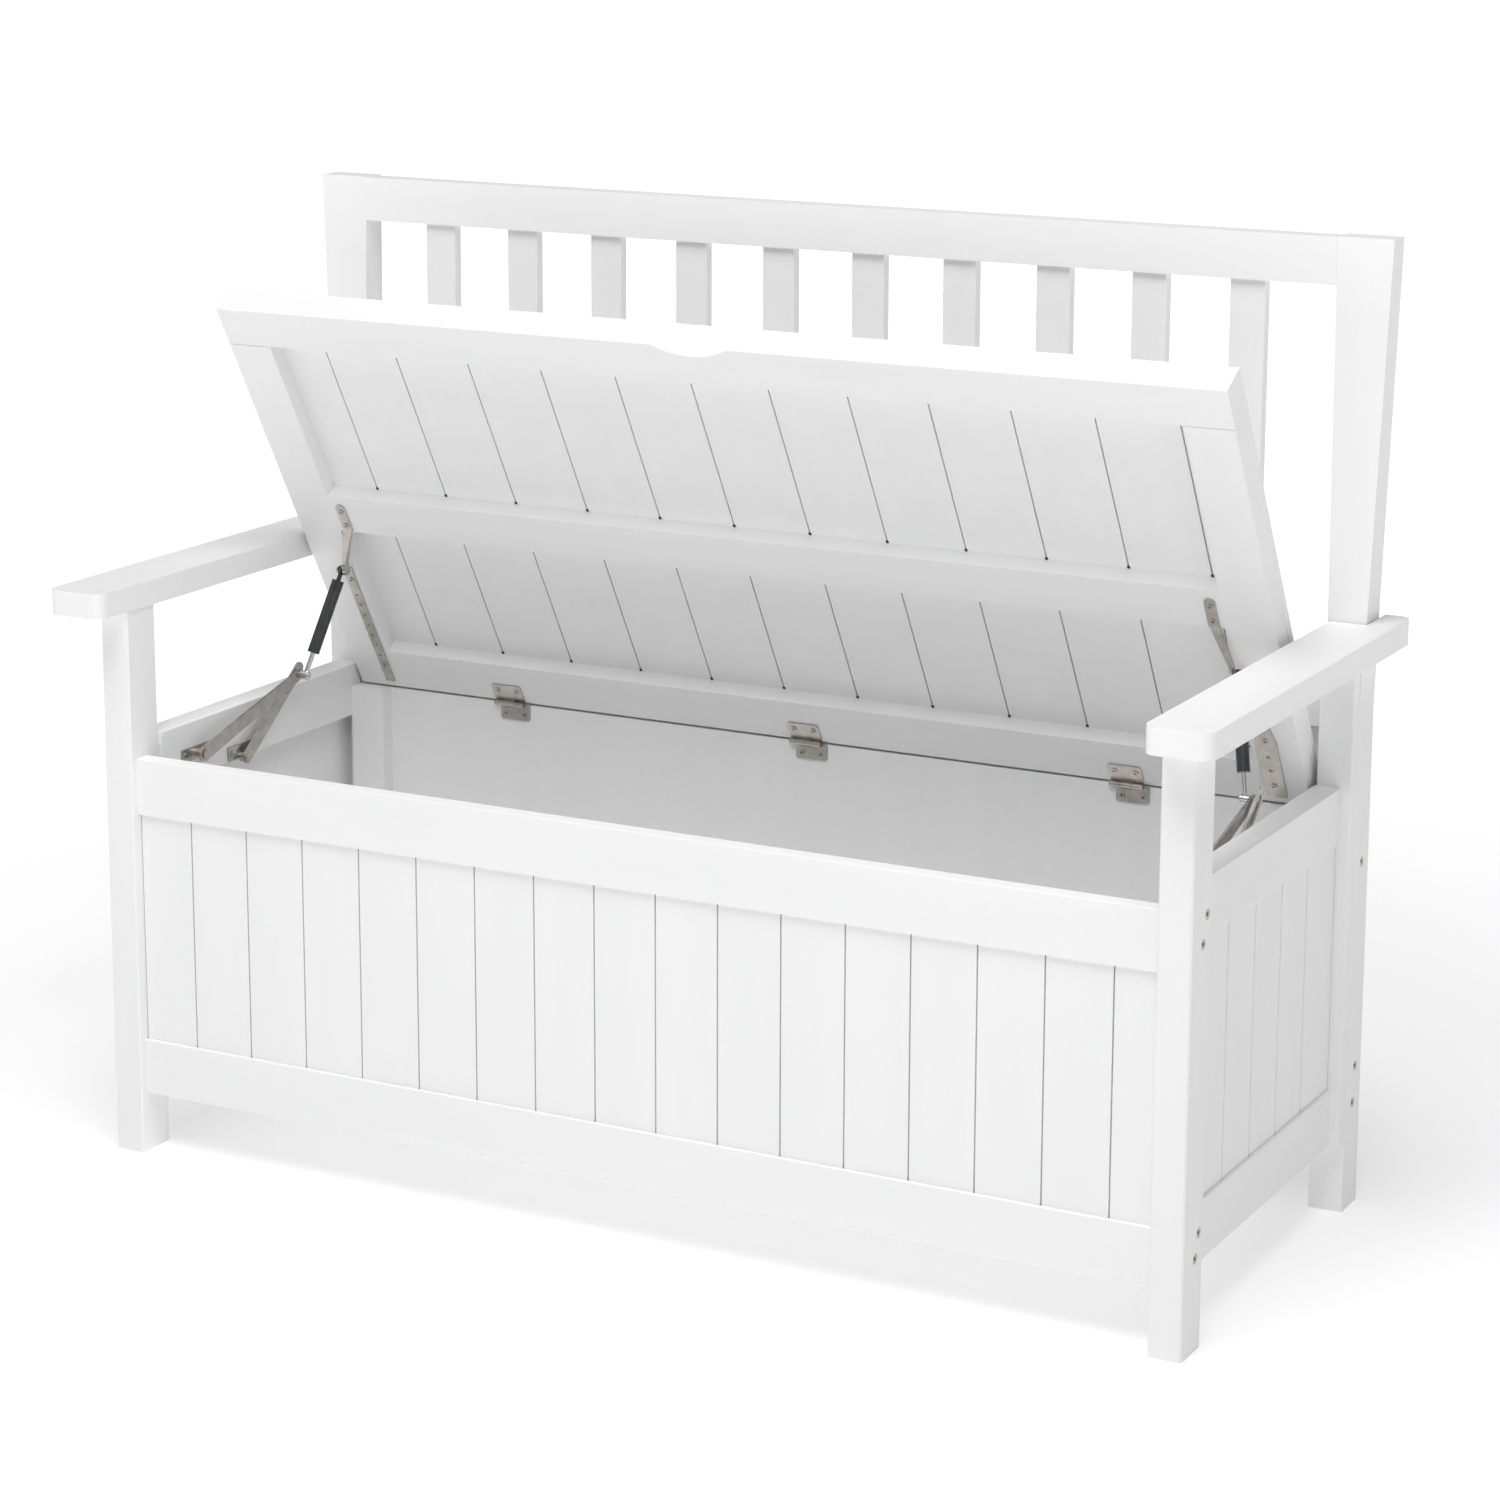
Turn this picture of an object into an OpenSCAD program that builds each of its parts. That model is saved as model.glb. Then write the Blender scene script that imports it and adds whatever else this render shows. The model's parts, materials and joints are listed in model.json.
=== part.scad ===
// Storage bench with a slatted back, two arms and a hinged seat lid held open by two stays.
// Millimetres, +Z up, the front faces -Y. The lid is drawn open.

/* [Frame] */
// Width over the outside of the legs
frame_width = 1150; // [960:10:1380]
// Depth from the front of the front legs to the back of the posts
frame_depth = 456; // [380:2:548]
// Height to the top of the back posts
back_height = 944; // [800:4:1130]
// Height of the front rail's top, which the lid closes onto
seat_height = 407; // [340:1:486]
// Top of the arms above the front rail
arm_rise = 175; // [146:1:210]
// Width of the legs and posts, seen from the front
leg_width = 32; // [28:1:38]
// Depth of the front legs
leg_depth = 45; // [38:1:52]
// Depth of the back posts at the floor
post_depth = 41; // [36:1:46]
// Edge chamfer on the legs and arms
edge_chamfer = 1.5; // [0.5:0.5:3]

/* [Box] */
// Thickness of the front rails
rail_thickness = 18; // [15:1:21]
// Height of the front rails
front_rail_height = 57; // [48:1:68]
// Gap from the floor to the lower front rail
floor_gap = 61; // [52:1:73]
// Number of upright boards across the front
front_board_count = 17; // [13:1:21]
// Thickness of the upright boards
board_thickness = 10; // [8:1:12]
// Width of the groove between two boards
groove_width = 1.6; // [1.2:0.1:2.4]
// Thickness of the floor boards
floor_thickness = 10; // [8:1:14]

/* [Arms] */
// Width of each arm
arm_width = 63; // [54:1:75]
// Thickness of each arm
arm_thickness = 25; // [20:1:30]
// How far the arms reach in front of the legs
arm_front = 44; // [36:1:52]
// How far the arms reach behind the posts
arm_rear = 15; // [12:1:18]
// Radius of the arms' corners
arm_corner = 12; // [8:1:16]

/* [Backrest] */
// Number of slats
slat_count = 10; // [7:1:12]
// Width of a slat
slat_width = 35; // [28:1:42]
// Thickness of a slat
slat_thickness = 13; // [10:1:16]
// Height of the top rail of the back
top_rail_height = 45; // [38:1:54]
// Height of the lower rail of the back
lower_rail_height = 52; // [44:1:62]

/* [Lid] */
// Angle the lid stands open
lid_angle = 60; // [52:1:68]
// Thickness of the lid's lower frame
lid_frame_thickness = 18; // [15:1:22]
// Thickness of the lid's boards
lid_board_thickness = 16; // [13:1:19]
// How far the closed lid reaches in front of the legs
lid_overhang = 104; // [88:1:124]
// Width of the lid's front rail
lid_front_width = 45; // [38:1:54]
// Width of the lid's side stiles
lid_stile_width = 48.5; // [46:0.5:54]
// Number of boards on the lid
lid_board_count = 13; // [10:1:16]
// Width of the finger notch
notch_width = 84; // [70:2:100]
// Depth of the finger notch
notch_depth = 8.5; // [6:0.5:11]

/* [Hinges] */
// Distance between the three hinges
hinge_pitch = 349; // [290:1:418]
// Width of a hinge leaf
hinge_width = 35; // [30:1:42]
// Radius of the hinge pin
hinge_pin_radius = 1.5; // [1.2:0.1:1.8]
// Radius of the hinge knuckle
knuckle_radius = 2.9; // [2.6:0.1:3.1]

/* [Stays] */
// Radius of the stay's damper tube
tube_radius = 6.3; // [5.2:0.1:6.4]
// Radius of the damper's rod
rod_radius = 2.5; // [2:0.1:3]
// Radius of the pivots of the stay
pivot_radius = 2.5; // [2:0.1:3]
// Thickness of the stay's flat bars
bar_thickness = 2.5; // [2:0.1:2.8]
// Width of the stay's slotted bar
bar_width = 13; // [11:0.5:16]
// Gap all round between a turning bore and its pin
pivot_gap = 0.05; // [0.02:0.01:0.09]

/* [Hidden] */
$fn = 64;

paint = [0.93, 0.93, 0.92];
metal = [0.62, 0.6, 0.57];
dark = [0.2, 0.2, 0.21];
bright = [0.8, 0.8, 0.82];

// Small gap that keeps a loose piece free in its seat
fit_gap = 0.1;
half_width = frame_width / 2;
front_y = -(frame_depth + arm_rear - arm_front) / 2;

// Faces measured inward from the outside of the legs, or back from the front of the legs
leg_in = half_width - leg_width;
post_in = leg_in - 2;
post_front = frame_depth - post_depth;
stile_front = post_front - 16;
side_out = half_width - 10;
side_in = half_width - 36;
rail_front = 9;
rail_back = rail_front + rail_thickness;

// Levels
arm_top = seat_height + arm_rise;
arm_low = arm_top - arm_thickness;
front_top_low = seat_height - front_rail_height;
front_low_top = floor_gap + front_rail_height - 1;
side_top_z = [seat_height - 36, seat_height + 20];
side_low_z = [floor_gap + 9, floor_gap + 67];
back_top_z = [seat_height - 77, seat_height - 4];
back_low_z = [floor_gap + 29, floor_gap + 89];
floor_low = floor_gap + 29;
floor_top = floor_low + floor_thickness;
lower_rail_z = [seat_height + 71, seat_height + 71 + lower_rail_height];
top_rail_z = [back_height - 0.5 - top_rail_height, back_height - 0.5];

// Boards let into grooves
groove_depth = 8;
front_board_y = [rail_front + 4, rail_front + 4 + board_thickness];
side_board_x = [side_out - 3 - board_thickness, side_out - 3];
front_pitch = 2 * leg_in / (front_board_count - 0.4);
side_pitch = (stile_front - leg_depth - 10) / 5.13;

// Hinge line of the lid, and the lid's own levels above it
pin_y = stile_front - 3;
pin_z = seat_height - 4;
lid_low = 4.4;
lid_mid = lid_low + lid_frame_thickness;
lid_top = lid_mid + lid_board_thickness;
lid_length = pin_y + lid_overhang;
lid_half = side_in - 3.5;
lid_in = lid_half - lid_stile_width;
lid_pitch = 2 * lid_half / (lid_board_count - 0.065);
batten_y = -0.48 * lid_length;

// Plates and screws of the ironwork
plate = 1.6;
screw_radius = 1.5;
screw_head = 3.2;
screw_grip = 14;
hinge_x = [-hinge_pitch, 0, hinge_pitch];

// Stay: every pivot is placed from the hinge line and grows with the lid
stay_scale = lid_length / 500;
// The damper leans outward by this much from its eye to the knee
damper_lean = 24;
eye_at = [-172 * stay_scale, -7 * stay_scale];
arm_pivot = [pin_y - 297 * stay_scale, pin_z - 9 * stay_scale];
bar_pivot = [pin_y - 218 * stay_scale, pin_z - 31 * stay_scale];
knee = [pin_y - 128 * stay_scale, pin_z + 38 * stay_scale];
eye = [
  pin_y + eye_at[0] * cos(lid_angle) + eye_at[1] * sin(lid_angle),
  pin_z - eye_at[0] * sin(lid_angle) + eye_at[1] * cos(lid_angle)
];
damper_flat = norm(knee - eye);
damper_length = norm([damper_flat, damper_lean]);
lean_angle = atan2(damper_lean, damper_flat);
damper_angle = atan2(knee[1] - eye[1], knee[0] - eye[0]);
stay_arm_length = norm(knee - arm_pivot);
stay_arm_angle = atan2(knee[1] - arm_pivot[1], knee[0] - arm_pivot[0]);
stay_bar_reach = norm(knee - bar_pivot);
stay_bar_angle = atan2(knee[1] - bar_pivot[1], knee[0] - bar_pivot[0]);
tube_end = damper_length - 25 * stay_scale;
rod_start = damper_length - 70 * stay_scale;

// Planes across the stay, measured from the inside of the side rail
damper_x = side_in - 44;
stay_arm_x = side_in - 13.5;
stay_bar_x = side_in - 9;

// How far the lower hinge leaf stands to the right of the knuckle
hinge_offset = 6;

// Screw places as [back, up] on the frame or [across, back] on the lid
front_bolts = [
  [35, seat_height - 6], [27, seat_height - 31],
  [35, floor_gap + 49], [28, floor_gap + 27]
];
rear_bolts = [
  [frame_depth - 18, seat_height - 60], [frame_depth - 16, floor_gap + 81],
  [frame_depth - 20, floor_gap + 45]
];
lid_strip_screws = [[-lid_in - 9.5, -30], [-lid_in - 9.5, -150 * stay_scale]];
lid_plate_screws = [[lid_in + 16, -22], [lid_in + 16, -80 * stay_scale]];
lid_bracket_screws = [[lid_in - 11, batten_y + 14], [lid_in - 11, batten_y - 4]];
// Height of the screws of the slotted bar's plate, on the side rail
bar_screw_z = side_top_z[0] + 8;
stay_screws = [
  [arm_pivot[0] - 17, arm_pivot[1]], [arm_pivot[0] + 17, arm_pivot[1]],
  [bar_pivot[0] - 17, bar_screw_z], [bar_pivot[0] + 17, bar_screw_z]
];

function flip(p) = [-p[0], p[1]];
function hinge_screw_x(shift) = [for (x = hinge_x) for (s = [-11, 11]) x + s + shift];
function lid_screw_places() = concat(
  [for (x = hinge_screw_x(0)) [x, -15]],
  lid_bracket_screws, [for (p = lid_bracket_screws) flip(p)],
  lid_strip_screws, lid_plate_screws
);
// Inner face of a back post at height z
function post_inner(z) = post_in - 6 * max(0, z - seat_height - 23) / (back_height - seat_height - 23);
// Left edges of a row of boards whose first and last ones are cut narrower
function board_edges(start, first, pitch, count, end) =
  [for (i = [0:count]) i == 0 ? start : (i == count ? end : start + first + (i - 1) * pitch)];

front_edges = board_edges(-leg_in, 0.925 * front_pitch, front_pitch, front_board_count, leg_in);
side_edges = board_edges(leg_depth, side_pitch + 10, side_pitch, 5, stile_front);
lid_edges = board_edges(-lid_half, lid_pitch * 1.208, lid_pitch, lid_board_count, lid_half);
floor_edges = [for (i = [0:15]) -side_in + 0.5 + i * (2 * side_in - 1) / 15];

module bevelled(a, b, c) {
  polygon([
    [a[0] + c, b[0]], [a[1] - c, b[0]], [a[1], b[0] + c], [a[1], b[1] - c],
    [a[1] - c, b[1]], [a[0] + c, b[1]], [a[0], b[1] - c], [a[0], b[0] + c]
  ]);
}

// A board whose -y side stands back at both edges, so that two of them leave a narrow groove
module grooved(a, b) {
  g = groove_width / 2 - fit_gap;
  d = b[0] + (b[1] - b[0]) * 0.45;
  polygon([
    [a[0] + g, b[0]], [a[1] - g, b[0]], [a[1] - g, d], [a[1], d],
    [a[1], b[1]], [a[0], b[1]], [a[0], d], [a[0] + g, d]
  ]);
}

module along_x(x) {
  translate([x[0], 0, 0]) rotate([90, 0, 90]) linear_extrude(x[1] - x[0]) children();
}

module along_y(y) {
  translate([0, y[1], 0]) rotate([90, 0, 0]) linear_extrude(y[1] - y[0]) children();
}

module along_z(z) {
  translate([0, 0, z[0]]) linear_extrude(z[1] - z[0]) children();
}

module box(x, y, z) {
  translate([x[0], y[0], z[0]]) cube([x[1] - x[0], y[1] - y[0], z[1] - z[0]]);
}

module rod_x(x, y, z, r) {
  translate([x[0], y, z]) rotate([0, 90, 0]) cylinder(r = r, h = x[1] - x[0]);
}

module rod_y(x, y, z, r) {
  translate([x, y[1], z]) rotate([90, 0, 0]) cylinder(r = r, h = y[1] - y[0]);
}

module rod_z(x, y, z, r) {
  translate([x, y, z[0]]) cylinder(r = r, h = z[1] - z[0]);
}

module frame_place() {
  translate([0, front_y, 0]) children();
}

module lid_place() {
  translate([0, front_y + pin_y, pin_z]) rotate([-lid_angle, 0, 0]) children();
}

module left() {
  mirror([1, 0, 0]) children();
}

// ---- frame, right-hand pieces ----

module front_leg() {
  color(paint) frame_place() difference() {
    along_z([0, arm_low]) bevelled([leg_in, half_width], [0, leg_depth], edge_chamfer);
    for (z = [side_top_z, side_low_z])
      box([side_in + 8.9, side_in + 21.1], [19.5, leg_depth + 1], [z[0] - fit_gap, z[1] + fit_gap]);
    for (p = front_bolts) {
      rod_x([side_in + 6, half_width + 1], p[0], p[1], 2.6);
      rod_x([half_width - 2.4, half_width + 1], p[0], p[1], 5.2);
    }
    rod_z(half_width - 16, 22, [arm_low - 21, arm_low + 1], 4.05);
  }
}

module back_post() {
  color(paint) frame_place() difference() {
    intersection() {
      along_y([post_front - 1, frame_depth + 1]) polygon([
        [post_in, 0], [half_width, 0], [half_width, arm_top - 82],
        [half_width + 15, back_height], [post_in - 6, back_height], [post_in, seat_height + 23]
      ]);
      along_x([post_in - 10, half_width + 20]) polygon([
        [post_front, 0], [frame_depth, 0], [frame_depth, arm_low - 30],
        [frame_depth - 2, arm_top], [frame_depth - 5, back_height],
        [frame_depth - 33.5, back_height], [post_front + 4, arm_top], [post_front, arm_low - 30]
      ]);
    }
    for (p = rear_bolts) {
      rod_x([post_in - 1, half_width + 1], p[0], p[1], 2.6);
      rod_x([half_width - 2.4, half_width + 1], p[0], p[1], 5.2);
    }
  }
}

module rear_stile() {
  color(paint) frame_place() difference() {
    along_z([side_low_z[0], arm_low]) bevelled([post_in, half_width], [stile_front, post_front], 0.8);
    rod_z(half_width - 16, stile_front + 8, [arm_low - 21, arm_low + 1], 4.05);
  }
}

module armrest() {
  x0 = leg_in - 1;
  x1 = x0 + arm_width;
  y1 = frame_depth + arm_rear;
  r = arm_corner;
  color(paint) frame_place() difference() {
    union() {
      box([x0, x1], [r - arm_front, y1 - r], [arm_low, arm_top]);
      box([x0 + r, x1 - r], [-arm_front, y1], [arm_low, arm_top]);
      for (x = [x0 + r, x1 - r])
        for (y = [r - arm_front, y1 - r])
          rod_z(x, y, [arm_low, arm_top], r);
    }
    box([x0 - 1, half_width + 3.4], [post_front + 1.9, y1 + 1], [arm_low - 1, arm_top + 1]);
    rod_z(half_width - 16, 22, [arm_low - 1, arm_low + 16], 4.05);
    rod_z(half_width - 16, stile_front + 8, [arm_low - 1, arm_low + 16], 4.05);
  }
}

module side_rail(z) {
  color(paint) frame_place() difference() {
    union() {
      along_y([leg_depth, stile_front]) bevelled([side_in, side_out], z, 0.8);
      box([side_in + 9, side_in + 21], [20, leg_depth + 1], z);
    }
    for (p = front_bolts)
      rod_x([side_in + 5, side_out + 1], p[0], p[1], 2.6);
    if (z[0] > floor_gap + 60)
      box([side_board_x[0] - fit_gap, side_board_x[1] + fit_gap], [leg_depth, stile_front + 1],
        [z[0] - 1, z[0] + groove_depth]);
    else
      box([side_board_x[0] - fit_gap, side_board_x[1] + fit_gap], [leg_depth, stile_front + 1],
        [z[1] - groove_depth, z[1] + 1]);
    if (z[0] > floor_gap + 60)
      for (p = stay_screws)
        rod_x([side_in - 1, side_in + 10], p[0], p[1], screw_radius + 0.05);
  }
}

module side_boards() {
  color(paint) frame_place()
    for (i = [0:len(side_edges) - 2])
      along_z([side_low_z[1] - groove_depth + 0.5, side_top_z[0] + groove_depth - 0.5])
        mirror([1, 0]) rotate(90)
          grooved([side_edges[i] + fit_gap, side_edges[i + 1] - fit_gap],
            [-side_board_x[1], -side_board_x[0]]);
}

// ---- frame, pieces across the bench ----

module front_rail(z, groove) {
  color(paint) frame_place() difference() {
    along_x([-leg_in, leg_in]) bevelled([rail_front, rail_back], z, 0.8);
    box([-leg_in - 1, leg_in + 1], [front_board_y[0] - fit_gap, front_board_y[1] + fit_gap], groove);
  }
}

module front_top_rail() {
  front_rail([front_top_low, seat_height], [front_top_low - 1, front_top_low + groove_depth]);
}

module front_bottom_rail() {
  front_rail([floor_gap, front_low_top], [front_low_top - groove_depth, front_low_top + 1]);
}

module front_boards() {
  color(paint) frame_place()
    for (i = [0:front_board_count - 1])
      along_z([front_low_top - groove_depth + 0.5, front_top_low + groove_depth - 0.5])
        grooved([front_edges[i] + fit_gap, front_edges[i + 1] - fit_gap], front_board_y);
}

module back_panel() {
  color(paint) frame_place() difference() {
    box([-post_in, post_in], [stile_front, stile_front + 10], [side_low_z[0], pin_z]);
    for (x = hinge_screw_x(hinge_offset))
      rod_y(x, [stile_front - 1, stile_front + 11], pin_z - 10.5, screw_radius + 0.05);
  }
}

module back_rail(z) {
  color(paint) frame_place() difference() {
    along_x([-post_in, post_in]) bevelled([stile_front + 10, frame_depth - 9], z, 0.8);
    for (s = [-1, 1])
      for (p = rear_bolts)
        rod_x(s > 0 ? [post_in - 20, post_in + 1] : [-post_in - 1, 20 - post_in], p[0], p[1], 2.6);
    if (z[1] > pin_z - 10.5)
      for (x = hinge_screw_x(hinge_offset))
        rod_y(x, [stile_front + 9, stile_front + 16], pin_z - 10.5, screw_radius + 0.05);
  }
}

module back_top_rail() {
  back_rail(back_top_z);
}

module back_bottom_rail() {
  back_rail(back_low_z);
}

module back_infill_board() {
  reach = post_inner(lower_rail_z[0]) - 0.1;
  color(paint) frame_place()
    along_x([-reach, reach])
      bevelled([frame_depth - 25, frame_depth - 9], [back_top_z[1] + 0.1, lower_rail_z[0] - 0.1], 0.8);
}

module corner_battens() {
  color(paint) frame_place()
    for (s = [-1, 1])
      box(s > 0 ? [side_in - 40, side_in] : [-side_in, 40 - side_in],
        [stile_front - 16, stile_front], [floor_top, pin_z]);
}

module front_blocks() {
  color(paint) frame_place()
    for (s = [-1, 1])
      box(s > 0 ? [side_in - 26, side_in] : [-side_in, 26 - side_in],
        [rail_back, leg_depth], [floor_top, front_top_low - 10]);
}

module floor_battens() {
  color(paint) frame_place()
    for (y = [rail_back, (rail_back + stile_front) / 2 - 11, stile_front - 22])
      box([0.5 - side_in, side_in - 0.5], [y, y + 22], [floor_low - 22, floor_low]);
}

module floor_boards() {
  color(paint) frame_place()
    for (i = [0:len(floor_edges) - 2])
      box([floor_edges[i] + 0.4, floor_edges[i + 1] - 0.4], [rail_back + 0.5, stile_front - 0.5],
        [floor_low, floor_top]);
}

module backrest_rail(z, y) {
  e = 0.1;
  color(paint) frame_place() along_y(y) polygon([
    [e - post_inner(z[0]), z[0]], [post_inner(z[0]) - e, z[0]],
    [post_inner(z[1]) - e, z[1]], [e - post_inner(z[1]), z[1]]
  ]);
}

module backrest_top_rail() {
  backrest_rail(top_rail_z, [frame_depth - 34, frame_depth - 11]);
}

module backrest_bottom_rail() {
  backrest_rail(lower_rail_z, [frame_depth - 34, frame_depth - 14]);
}

module backrest_slats() {
  pitch = 0.1727 * half_width * 10 / slat_count;
  color(paint) frame_place()
    for (i = [0:slat_count - 1]) {
      x = (i - (slat_count - 1) / 2) * pitch;
      along_z([lower_rail_z[1], top_rail_z[0]])
        bevelled([x - slat_width / 2, x + slat_width / 2],
          [frame_depth - 29, frame_depth - 29 + slat_thickness], 1);
    }
}

// ---- fixings of the frame ----

module frame_bolts() {
  color(metal) frame_place()
    for (s = [0, 1]) mirror([s, 0, 0]) {
      for (p = front_bolts) {
        rod_x([side_in + 7, half_width - 1], p[0], p[1], 2.5);
        rod_x([half_width - 2.3, half_width - 0.4], p[0], p[1], 5);
      }
      for (p = rear_bolts) {
        rod_x([post_in - 18, half_width - 1], p[0], p[1], 2.5);
        rod_x([half_width - 2.3, half_width - 0.4], p[0], p[1], 5);
      }
    }
}

module arm_dowels() {
  color(paint) frame_place()
    for (s = [-1, 1])
      for (y = [22, stile_front + 8])
        rod_z(s * (half_width - 16), y, [arm_low - 20, arm_low + 15], 4);
}

module hinge_leaves_fixed() {
  w = hinge_width / 2;
  color(metal) frame_place()
    for (x = hinge_x) translate([x, 0, 0]) difference() {
      union() {
        box([hinge_offset - w, hinge_offset + w], [stile_front - plate, stile_front], [pin_z - 14, pin_z]);
        box([hinge_offset - w + 3, hinge_offset + w - 3], [stile_front - plate, stile_front],
          [pin_z - 17, pin_z]);
        for (s = [3 - w, w - 3])
          rod_y(hinge_offset + s, [stile_front - plate, stile_front], pin_z - 14, 3);
        rod_x([-w, -6.2], pin_y, pin_z, knuckle_radius);
        rod_x([6.2, w], pin_y, pin_z, knuckle_radius);
      }
      box([-6.2, 6.2], [stile_front - 3, stile_front + 1], [pin_z - 4, pin_z + 1]);
      rod_x([-w - 1, w + 1], pin_y, pin_z, hinge_pin_radius + pivot_gap);
      for (s = [-11, 11])
        rod_y(hinge_offset + s, [stile_front - 3, stile_front + 1], pin_z - 10.5, screw_radius + 0.05);
    }
}

module hinge_pins() {
  color(metal) frame_place()
    for (x = hinge_x)
      rod_x([x - hinge_width / 2, x + hinge_width / 2], pin_y, pin_z, hinge_pin_radius);
}

module frame_screws() {
  color(metal) frame_place() {
    for (x = hinge_screw_x(hinge_offset)) {
      rod_y(x, [stile_front - plate - 0.1, stile_front - plate + screw_grip], pin_z - 10.5, screw_radius);
      rod_y(x, [stile_front - plate - 0.9, stile_front - plate - 0.01], pin_z - 10.5, screw_head);
    }
    for (m = [0, 1]) mirror([m, 0, 0])
      for (p = stay_screws) {
        rod_x([side_in - 2.1, side_in + 9], p[0], p[1], screw_radius);
        rod_x([side_in - 2.9, side_in - 2.01], p[0], p[1], screw_head);
      }
  }
}

module stay_bracket() {
  color(metal) frame_place() difference() {
    union() {
      box([side_in - 2, side_in], [arm_pivot[0] - 23, arm_pivot[0] + 23], [arm_pivot[1] - 7, arm_pivot[1] + 7]);
      box([side_in - 2, side_in], [bar_pivot[0] - 23, bar_pivot[0] + 23],
        [side_top_z[0] + 0.5, side_top_z[0] + 15]);
      rod_x([stay_arm_x + bar_thickness + 0.3, side_in - 1], arm_pivot[0], arm_pivot[1], 5);
      rod_x([stay_arm_x - 0.5, side_in - 1], arm_pivot[0], arm_pivot[1], pivot_radius);
      rod_x([stay_arm_x - 1.2, stay_arm_x - 0.3], arm_pivot[0], arm_pivot[1], 4.5);
      rod_x([stay_bar_x + bar_thickness + 0.3, side_in - 1], bar_pivot[0], bar_pivot[1], 5);
      rod_x([stay_bar_x - 0.5, side_in - 1], bar_pivot[0], bar_pivot[1], pivot_radius);
      rod_x([stay_bar_x - 1.2, stay_bar_x - 0.3], bar_pivot[0], bar_pivot[1], 4.5);
    }
    for (p = stay_screws)
      rod_x([side_in - 3, side_in + 1], p[0], p[1], screw_radius + 0.05);
  }
}

// ---- lid, in its own frame: hinge line at 0, front towards -y ----

module lid_holes() {
  for (p = lid_screw_places())
    rod_z(p[0], p[1], [lid_low - 4, lid_low - plate + screw_grip + 1], screw_radius + 0.05);
}

module lid_front_rail() {
  big = (notch_width * notch_width / 4 + notch_depth * notch_depth) / (2 * notch_depth);
  color(paint) lid_place() difference() {
    along_x([-lid_half, lid_half])
      bevelled([-lid_length, lid_front_width - lid_length], [lid_low, lid_top], 1);
    translate([0, -lid_length + (notch_depth - big) * 0.7071, lid_low + (notch_depth - big) * 0.7071])
      rotate([45, 0, 0]) cylinder(r = big, h = 200, center = true);
  }
}

module lid_stile() {
  color(paint) lid_place() difference() {
    box([lid_in, lid_half], [lid_front_width - lid_length, 0], [lid_low, lid_mid]);
    lid_holes();
    mirror([1, 0, 0]) lid_holes();
  }
}

module lid_rear_rail() {
  color(paint) lid_place() difference() {
    box([-lid_in, lid_in], [-50, 0], [lid_low, lid_mid]);
    lid_holes();
  }
}

module lid_middle_batten() {
  color(paint) lid_place() difference() {
    box([-lid_in, lid_in], [batten_y - 23, batten_y + 23], [lid_low, lid_mid]);
    lid_holes();
  }
}

module lid_boards() {
  color(paint) lid_place()
    for (i = [0:lid_board_count - 1])
      along_y([lid_front_width - lid_length, 0])
        grooved([lid_edges[i] + fit_gap, lid_edges[i + 1] - fit_gap], [lid_mid, lid_top]);
}

module lid_hinge_leaves() {
  w = hinge_width / 2;
  color(metal) lid_place()
    for (x = hinge_x) translate([x, 0, 0]) difference() {
      union() {
        box([-w, w], [-20, -2.2], [lid_low - plate, lid_low]);
        box([3 - w, w - 3], [-23, -2.2], [lid_low - plate, lid_low]);
        for (s = [3 - w, w - 3])
          rod_z(s, -20, [lid_low - plate, lid_low], 3);
        box([-5.9, 5.9], [-3, 0], [0, lid_low]);
        rod_x([-5.9, 5.9], 0, 0, knuckle_radius);
      }
      rod_x([-7, 7], 0, 0, hinge_pin_radius + pivot_gap);
      for (s = [-11, 11])
        rod_z(s, -15, [lid_low - 3, lid_low + 1], screw_radius + 0.05);
    }
}

module lid_screws() {
  color(metal) lid_place()
    for (p = lid_screw_places()) {
      rod_z(p[0], p[1], [lid_low - plate - 0.1, lid_low - plate + screw_grip], screw_radius);
      rod_z(p[0], p[1], [lid_low - plate - 0.9, lid_low - plate - 0.01], screw_head);
    }
}

module lid_strip_left() {
  x = -lid_in - 9.5;
  color(metal) lid_place() difference() {
    box([x - 5.5, x + 5.5], [-167 * stay_scale, -8], [lid_low - plate, lid_low]);
    lid_holes();
    for (i = [0:6])
      rod_z(x, -(45 + i * 14) * stay_scale, [lid_low - 3, lid_low + 1], 1.5);
  }
}

module lid_plate_right() {
  x = lid_in + 16;
  y = -112 * stay_scale;
  color(metal) lid_place() difference() {
    along_z([lid_low - plate, lid_low]) polygon([
      [x - 11, -8], [x + 11, -8], [x + 11, y + 34], [x + 7, y + 16],
      [x + 2, y + 4], [x, y], [x - 2, y + 4], [x - 7, y + 16], [x - 11, y + 34]
    ]);
    lid_holes();
    for (t = [-42, -60])
      rod_z(x, t * stay_scale, [lid_low - 3, lid_low + 1], 2);
  }
}

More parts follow.
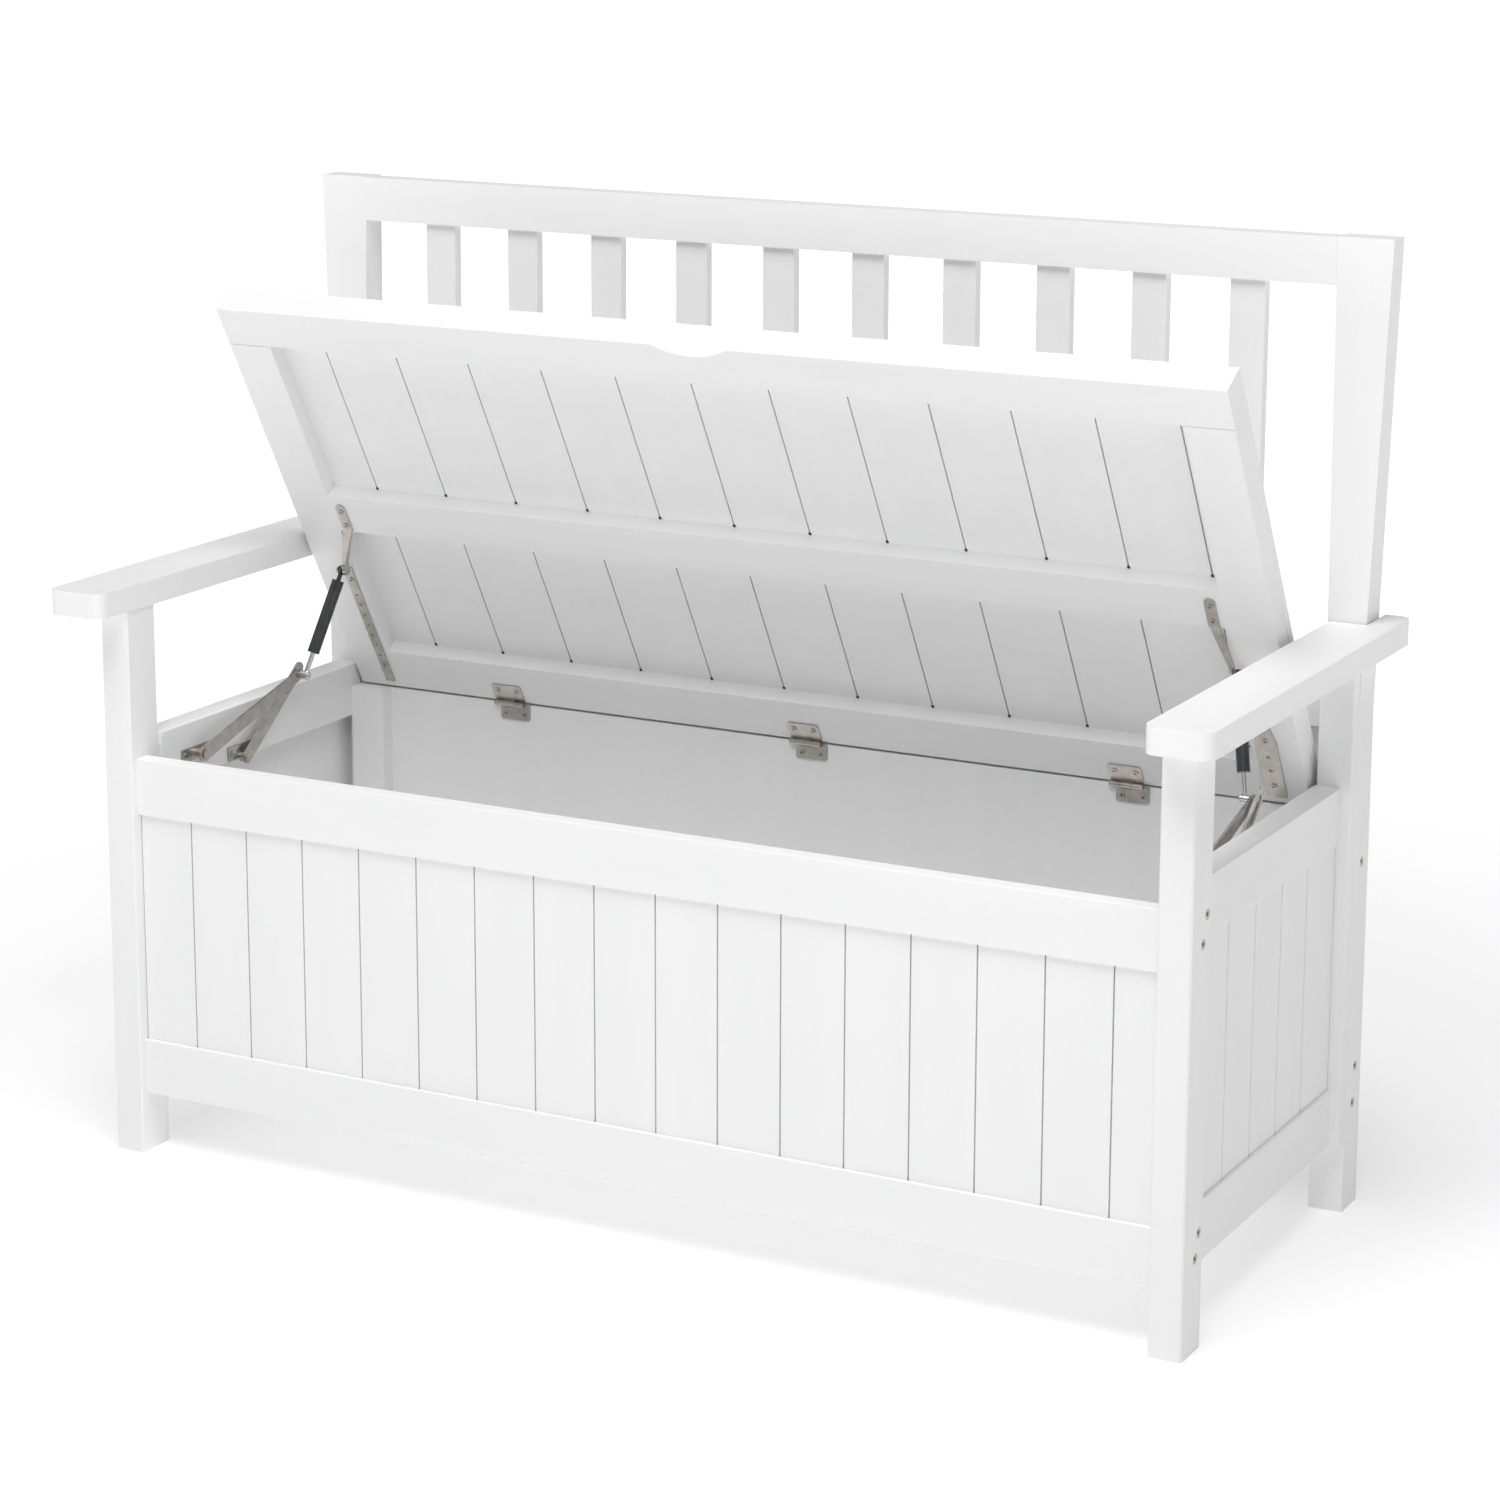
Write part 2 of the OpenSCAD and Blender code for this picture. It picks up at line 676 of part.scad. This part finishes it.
module lid_stay_bracket() {
  x0 = lid_in - 16.5;
  x1 = lid_in + 2;
  far = batten_y - 8;
  near = batten_y + 21;
  pin_out = damper_x + 4.6;
  color(metal) lid_place() difference() {
    union() {
      box([x0, x0 + 11], [far, near], [lid_low - plate, lid_low]);
      rod_z(x0 + 5.5, far, [lid_low - plate, lid_low], 5.5);
      hull() {
        box([x0 + 1, x0 + 11], [near - 2, near], [lid_low - plate, lid_low]);
        box([x1 - 1, x1 + 2], [eye_at[0] - 9, eye_at[0] - 4], [eye_at[1] - 1, eye_at[1] + 5]);
      }
      box([x1 - 1, x1 + 2], [eye_at[0] - 8, eye_at[0]], [eye_at[1] - 4, eye_at[1] + 4]);
      rod_x([x1 - 1, x1 + 2], eye_at[0], eye_at[1], 5);
      rod_x([x1, pin_out - 1], eye_at[0], eye_at[1], 2);
      rod_x([pin_out - 1.4, pin_out], eye_at[0], eye_at[1], 3.6);
    }
    lid_holes();
    mirror([1, 0, 0]) lid_holes();
  }
}

// ---- stay, right-hand pieces ----

module stay_cylinder() {
  color(dark) frame_place() translate([damper_x, eye[0], eye[1]]) rotate([damper_angle, 0, 0])
    difference() {
      union() {
        rod_x([-2, 2], 0, 0, 5);
        rotate([0, 0, -lean_angle]) {
          rod_y(0, [2, 13 * stay_scale], 0, 2.4);
          rod_y(0, [11.5 * stay_scale, tube_end], 0, tube_radius);
        }
      }
      rod_x([-7, 7], 0, 0, 2 + pivot_gap);
      rotate([0, 0, -lean_angle])
        rod_y(0, [rod_start - 20 * stay_scale, tube_end + 1], 0, rod_radius + pivot_gap);
    }
}

module stay_rod() {
  color(bright) frame_place() translate([damper_x, eye[0], eye[1]]) rotate([damper_angle, 0, 0])
    union() {
      rotate([0, 0, -lean_angle]) rod_y(0, [rod_start, damper_length], 0, rod_radius);
      rod_x([damper_lean - 4, damper_lean + 4.6], damper_flat, 0, 4.6);
      rod_x([damper_lean - 5.2, damper_lean - 4], damper_flat, 0, 3.2);
    }
}

module stay_arm() {
  l = stay_arm_length;
  b = bar_thickness;
  color(metal) frame_place() translate([stay_arm_x, arm_pivot[0], arm_pivot[1]])
    rotate([stay_arm_angle, 0, 0]) difference() {
      union() {
        along_x([0, b]) polygon([[0, -8], [l, -5.5], [l, 5.5], [0, 8]]);
        rod_x([0, b], 0, 0, 8);
        rod_x([0, b], l, 0, 5.5);
        rod_x([-1, b + 1.2], l, 0, 4);
      }
      rod_x([-1, b + 1], 0, 0, pivot_radius + pivot_gap);
    }
}

module stay_bar() {
  l = stay_bar_reach;
  b = bar_thickness;
  w = bar_width / 2;
  color(metal) frame_place() translate([stay_bar_x, bar_pivot[0], bar_pivot[1]])
    rotate([stay_bar_angle, 0, 0]) difference() {
      union() {
        along_x([0, b]) polygon([[0, -w], [l + 8, -w], [l + 8, w], [0, w]]);
        rod_x([0, b], 0, 0, w);
        rod_x([0, b], l + 8, 0, w);
      }
      rod_x([-1, b + 1], 0, 0, pivot_radius + pivot_gap);
      box([-1, b + 1], [l - 24 * stay_scale, l + 4], [-2.7, 2.7]);
      rod_x([-1, b + 1], l - 24 * stay_scale, 0, 2.7);
      rod_x([-1, b + 1], l + 4, 0, 2.7);
    }
}

left() front_leg();  // front_leg_left
front_leg();  // front_leg_right
left() back_post();  // back_post_left
back_post();  // back_post_right
left() rear_stile();  // rear_stile_left
rear_stile();  // rear_stile_right
left() armrest();  // armrest_left
armrest();  // armrest_right
front_top_rail();
front_bottom_rail();
front_boards();
left() side_rail(side_top_z);  // side_top_rail_left
side_rail(side_top_z);  // side_top_rail_right
left() side_rail(side_low_z);  // side_bottom_rail_left
side_rail(side_low_z);  // side_bottom_rail_right
left() side_boards();  // side_boards_left
side_boards();  // side_boards_right
back_panel();
back_top_rail();
back_bottom_rail();
back_infill_board();
corner_battens();
front_blocks();
floor_battens();
floor_boards();
backrest_top_rail();
backrest_bottom_rail();
backrest_slats();
frame_bolts();
arm_dowels();
hinge_leaves_fixed();
hinge_pins();
frame_screws();
left() stay_bracket();  // stay_bracket_left
stay_bracket();  // stay_bracket_right
lid_front_rail();
left() lid_stile();  // lid_stile_left
lid_stile();  // lid_stile_right
lid_rear_rail();
lid_middle_batten();
lid_boards();
lid_hinge_leaves();
lid_screws();
lid_strip_left();
lid_plate_right();
left() lid_stay_bracket();  // lid_stay_bracket_left
lid_stay_bracket();  // lid_stay_bracket_right
left() stay_cylinder();  // stay_cylinder_left
stay_cylinder();  // stay_cylinder_right
left() stay_rod();  // stay_rod_left
stay_rod();  // stay_rod_right
left() stay_arm();  // stay_arm_left
stay_arm();  // stay_arm_right
left() stay_bar();  // stay_bar_left
stay_bar();  // stay_bar_right
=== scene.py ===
import bpy, bmesh, json, math
from mathutils import Matrix, Vector


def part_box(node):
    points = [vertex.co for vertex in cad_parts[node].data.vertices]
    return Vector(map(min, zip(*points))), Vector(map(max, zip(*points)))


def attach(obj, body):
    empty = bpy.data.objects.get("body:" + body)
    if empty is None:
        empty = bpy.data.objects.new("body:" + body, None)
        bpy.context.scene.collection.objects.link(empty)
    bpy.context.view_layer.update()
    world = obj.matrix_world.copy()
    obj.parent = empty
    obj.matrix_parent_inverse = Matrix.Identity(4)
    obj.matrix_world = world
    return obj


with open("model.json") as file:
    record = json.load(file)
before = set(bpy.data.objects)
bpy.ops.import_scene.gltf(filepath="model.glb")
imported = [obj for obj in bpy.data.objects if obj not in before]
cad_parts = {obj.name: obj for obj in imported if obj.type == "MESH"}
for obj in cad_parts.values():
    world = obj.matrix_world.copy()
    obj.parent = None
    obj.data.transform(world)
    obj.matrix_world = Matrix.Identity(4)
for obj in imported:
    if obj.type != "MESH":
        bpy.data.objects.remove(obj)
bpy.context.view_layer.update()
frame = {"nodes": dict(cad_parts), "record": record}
nodes = frame["nodes"]
scene = bpy.context.scene

def aim(place, yaw, pitch, roll):
    ahead = Vector((math.sin(yaw) * math.cos(pitch), math.cos(yaw) * math.cos(pitch), -math.sin(pitch)))
    right = Vector((math.cos(yaw), -math.sin(yaw), 0))
    up = right.cross(ahead)
    r = right * math.cos(roll) + up * math.sin(roll)
    u = up * math.cos(roll) - right * math.sin(roll)
    m = Matrix((r, u, -ahead)).transposed().to_4x4()
    m.translation = place
    return m

cam = bpy.data.objects.new("camera", bpy.data.cameras.new("camera"))
scene.collection.objects.link(cam)
view = {"place": (1.7478, -3.2320, 1.3762), "yaw": -0.48784, "pitch": 0.21162, "roll": 0.00258,
        "lens": 94.08, "shift": -0.1013}
cam.matrix_world = aim(Vector(view["place"]), view["yaw"], view["pitch"], view["roll"])
cam.data.sensor_width = 36
cam.data.lens = view["lens"]
cam.data.shift_y = view["shift"]
cam.data.clip_end = 200
scene.camera = cam
scene.view_settings.view_transform = "Standard"
print("camera set")

def newMaterial(name):
    m = bpy.data.materials.new(name)
    m.use_nodes = True
    t = m.node_tree
    return m, t, t.nodes["Principled BSDF"]

def noise(t, scale, detail, stretch=(1, 1, 1)):
    where = t.nodes.new("ShaderNodeTexCoord")
    m = t.nodes.new("ShaderNodeMapping")
    m.inputs["Scale"].default_value = stretch
    n = t.nodes.new("ShaderNodeTexNoise")
    n.inputs["Scale"].default_value = scale
    n.inputs["Detail"].default_value = detail
    t.links.new(where.outputs["Object"], m.inputs["Vector"])
    t.links.new(m.outputs["Vector"], n.inputs["Vector"])
    return n

def ramp(t, source, stops):
    r = t.nodes.new("ShaderNodeValToRGB")
    e = r.color_ramp.elements
    while len(e) < len(stops):
        e.new(0.5)
    for i, (at, colour) in enumerate(stops):
        e[i].position = at
        e[i].color = (*colour, 1)
    t.links.new(source, r.inputs["Fac"])
    return r

def bump(t, bsdf, source, strength, distance):
    b = t.nodes.new("ShaderNodeBump")
    b.inputs["Strength"].default_value = strength
    b.inputs["Distance"].default_value = distance
    t.links.new(source, b.inputs["Height"])
    t.links.new(b.outputs["Normal"], bsdf.inputs["Normal"])

def paintMaterial(name, grain):
    m, t, b = newMaterial(name)
    n = noise(t, 7, 4, grain)
    tone = ramp(t, n.outputs["Fac"], [(0.3, (0.905, 0.907, 0.908)), (0.7, (0.930, 0.930, 0.928))])
    t.links.new(tone.outputs["Color"], b.inputs["Base Color"])
    fine = noise(t, 60, 3, grain)
    shine = ramp(t, fine.outputs["Fac"], [(0.3, (0.40, 0.40, 0.40)), (0.7, (0.50, 0.50, 0.50))])
    t.links.new(shine.outputs["Color"], b.inputs["Roughness"])
    b.inputs["Specular IOR Level"].default_value = 0.35
    bump(t, b, fine.outputs["Fac"], 0.12, 0.0006)
    return m

def metalMaterial(name, low, high, rough, metallic=1.0, scale=90, stretch=(1, 1, 1)):
    m, t, b = newMaterial(name)
    n = noise(t, scale, 4, stretch)
    tone = ramp(t, n.outputs["Fac"], [(0.3, low), (0.7, high)])
    t.links.new(tone.outputs["Color"], b.inputs["Base Color"])
    b.inputs["Metallic"].default_value = metallic
    shine = ramp(t, n.outputs["Fac"], [(0.25, (rough - 0.07,) * 3), (0.75, (rough + 0.07,) * 3)])
    t.links.new(shine.outputs["Color"], b.inputs["Roughness"])
    bump(t, b, n.outputs["Fac"], 0.1, 0.0002)
    return m

paintAlongX = paintMaterial("white paint, long", (0.6, 4, 4))
paintAlongY = paintMaterial("white paint, deep", (4, 0.6, 4))
paintAlongZ = paintMaterial("white paint, upright", (4, 4, 0.6))
steel = metalMaterial("nickel steel", (0.44, 0.41, 0.375), (0.60, 0.565, 0.525), 0.34)
darkTube = metalMaterial("dark damper tube", (0.055, 0.056, 0.06), (0.085, 0.086, 0.09), 0.22, 0.5, 40)
brightRod = metalMaterial("bright rod", (0.72, 0.72, 0.73), (0.84, 0.84, 0.85), 0.14)
# painted shade: a near-black material for thin flat pieces that stand in for the shade inside holes,
# slots and sockets
recessShade = metalMaterial("painted shade in recesses", (0.03, 0.028, 0.026), (0.07, 0.065, 0.06), 0.6, 0.0)

def setMaterial(o, m):
    o.data.materials.clear()
    o.data.materials.append(m)

# wood made of many boards, whose grain follows each board and not the node's longest side
uprightWood = ("front_boards", "back_panel", "backrest_slats", "corner_battens", "front_blocks")
deepWood = ("lid_boards", "floor_boards")

def grainOf(name):
    low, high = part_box(name)
    size = high - low
    if name in uprightWood or "side_boards" in name:
        return paintAlongZ
    if name in deepWood or "lid_stile" in name:
        return paintAlongY
    return (paintAlongX, paintAlongY, paintAlongZ)[max(range(3), key=lambda i: size[i])]

finishes = {"nickel_steel": steel, "dark_metal": darkTube, "bright_steel": brightRod}
soft = {"wood": 0.0011, "metal": 0.00025}
for part in frame["record"]["subparts"]:
    o = nodes[part["node"]]
    wood = part["material_slot"] == "white_paint"
    setMaterial(o, grainOf(part["node"]) if wood else finishes[part["material_slot"]])
    edge = o.modifiers.new("soft edges", "BEVEL")
    edge.width = soft["wood"] if wood else soft["metal"]
    edge.segments = 2
    edge.limit_method = "ANGLE"
    edge.angle_limit = math.radians(40)
print("CAD pieces finished")

def piece(name, bm, material, body):
    data = bpy.data.meshes.new(name)
    bm.to_mesh(data)
    bm.free()
    o = bpy.data.objects.new(name, data)
    scene.collection.objects.link(o)
    o.data.materials.append(material)
    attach(o, body)
    return o

def addBox(bm, size, place):
    bmesh.ops.create_cube(bm, size=1, matrix=place @ Matrix.Diagonal((*size, 1)))

def addDisc(bm, radius, thick, place, sides=20):
    bmesh.ops.create_cone(bm, cap_ends=True, segments=sides, radius1=radius, radius2=radius,
                          depth=thick, matrix=place)

# the lid's own frame: hinge line at the origin, front towards -Y
lidSpec = {"open": 60.0}
low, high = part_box("hinge_pins")
axis = (low + high) / 2
lidAt = Matrix.Translation((0, axis.y, axis.z)) @ Matrix.Rotation(math.radians(-lidSpec["open"]), 4, "X")
upright = Matrix.Identity(4)

def islands(name, where):
    # lowest and highest corner of each separate solid of a node, measured in the given frame
    bm = bmesh.new()
    bm.from_mesh(nodes[name].data)
    bmesh.ops.remove_doubles(bm, verts=bm.verts[:], dist=1e-6)
    back = where.inverted()
    seen, found = set(), []
    for start in bm.verts:
        if start in seen:
            continue
        seen.add(start)
        stack, points = [start], []
        while stack:
            v = stack.pop()
            points.append(back @ v.co)
            for e in v.link_edges:
                w = e.other_vert(v)
                if w not in seen:
                    seen.add(w)
                    stack.append(w)
        found.append((Vector(map(min, *points)), Vector(map(max, *points))))
    bm.free()
    return found

def localBox(name, where):
    parts = islands(name, where)
    return (Vector(map(min, *[a for a, b in parts], parts[0][0])),
            Vector(map(max, *[b for a, b in parts], parts[0][1])))

# small discs of painted shade where the grooves under the lid meet the cross pieces, standing in for the
# dark drill ends
dots = {"radius": 0.0017, "thick": 0.0008, "first": 1.208, "last": 0.065}
boardLow, boardHigh = localBox("lid_boards", lidAt)
boardCount = len(islands("lid_boards", lidAt))
lidWidth = boardHigh.x - boardLow.x
pitch = lidWidth / (boardCount - dots["last"])
bm = bmesh.new()
for name in ("lid_middle_batten", "lid_rear_rail"):
    edge = localBox(name, lidAt)[0].y - dots["radius"]
    for i in range(1, boardCount):
        x = boardLow.x + pitch * (dots["first"] + i - 1)
        addDisc(bm, dots["radius"], dots["thick"], lidAt @ Matrix.Translation((x, edge, boardLow.z)))
piece("painted_shade_groove_ends_under_lid", bm, recessShade, "lid")
print("groove ends made")

# painted shade of the cross recesses in the screw heads, as thin dark crosses, those of the lid turned a
# little
cross = {"long": 0.0036, "wide": 0.0008, "thick": 0.00012, "turn": 0.5}

def addCross(bm, place):
    addBox(bm, (cross["long"], cross["wide"], cross["thick"]), place)
    addBox(bm, (cross["wide"], cross["long"], cross["thick"]), place)

bm = bmesh.new()
for a, b in islands("lid_screws", lidAt):
    mid = (a + b) / 2
    addCross(bm, lidAt @ Matrix.Translation((mid.x, mid.y, a.z)) @ Matrix.Rotation(cross["turn"], 4, "Z"))
piece("painted_shade_lid_screw_recesses", bm, recessShade, "lid")

bm = bmesh.new()
for a, b in islands("frame_screws", upright):
    mid = (a + b) / 2
    if b.y - a.y > b.x - a.x:
        addCross(bm, Matrix.Translation((mid.x, a.y, mid.z)) @ Matrix.Rotation(math.pi / 2, 4, "X"))
    else:
        x = a.x if mid.x > 0 else b.x
        addCross(bm, Matrix.Translation((x, mid.y, mid.z)) @ Matrix.Rotation(math.pi / 2, 4, "Y"))
piece("painted_shade_frame_screw_recesses", bm, recessShade, "frame")

# painted shade of the six-sided sockets in the bolt heads, as thin dark hexagons
socket = {"radius": 0.0024, "thick": 0.00012}
bm = bmesh.new()
for a, b in islands("frame_bolts", upright):
    mid = (a + b) / 2
    x = b.x if mid.x > 0 else a.x
    addDisc(bm, socket["radius"], socket["thick"],
            Matrix.Translation((x, mid.y, mid.z)) @ Matrix.Rotation(math.pi / 2, 4, "Y"), 6)
piece("painted_shade_bolt_sockets", bm, recessShade, "frame")
print("recesses made")

floorReach = 40
floorMat, ft, fb = newMaterial("pale floor")
fn = noise(ft, 1.5, 3)
pale = ramp(ft, fn.outputs["Fac"], [(0.3, (0.76, 0.76, 0.76)), (0.7, (0.79, 0.79, 0.79))])
ft.links.new(pale.outputs["Color"], fb.inputs["Base Color"])
fb.inputs["Roughness"].default_value = 0.9
# the floor glows a little more away from the lights, so that it stays evenly pale
where = ft.nodes.new("ShaderNodeTexCoord")
far = ft.nodes.new("ShaderNodeVectorMath")
far.operation = "LENGTH"
ft.links.new(where.outputs["Object"], far.inputs[0])
span = ft.nodes.new("ShaderNodeMapRange")
span.inputs["From Min"].default_value = 1.0
span.inputs["From Max"].default_value = 3.4
ft.links.new(far.outputs["Value"], span.inputs["Value"])
glow = ramp(ft, span.outputs["Result"], [(0.0, (0.38, 0.38, 0.38)), (1.0, (0.94, 0.94, 0.94))])
ft.links.new(glow.outputs["Color"], fb.inputs["Emission Color"])
fb.inputs["Emission Strength"].default_value = 1.0

bm = bmesh.new()
bmesh.ops.create_grid(bm, x_segments=8, y_segments=8, size=floorReach)
data = bpy.data.meshes.new("floor")
bm.to_mesh(data)
bm.free()
floor = bpy.data.objects.new("floor", data)
scene.collection.objects.link(floor)
floor.data.materials.append(floorMat)

world = bpy.data.worlds.new("studio")
scene.world = world
world.use_nodes = True
world.node_tree.nodes["Background"].inputs["Color"].default_value = (1, 1, 1, 1)
world.node_tree.nodes["Background"].inputs["Strength"].default_value = 0.26

def softbox(name, place, target, size, power):
    light = bpy.data.objects.new(name, bpy.data.lights.new(name, "AREA"))
    light.data.shape = "DISK"
    light.data.size = size
    light.data.energy = power
    light.location = place
    light.rotation_euler = (Vector(target) - Vector(place)).to_track_quat("-Z", "Y").to_euler()
    scene.collection.objects.link(light)
    return light

softbox("key", (-2.2, -4.2, 3.2), (0, 0, 0.5), 3.2, 1.5)
softbox("fill", (0.6, -5.0, 2.6), (0, 0.1, 0.4), 3.0, 4)
softbox("top", (0.45, -1.6, 4.1), (0, 0, 0.4), 3.0, 128)
print("floor and lights set")
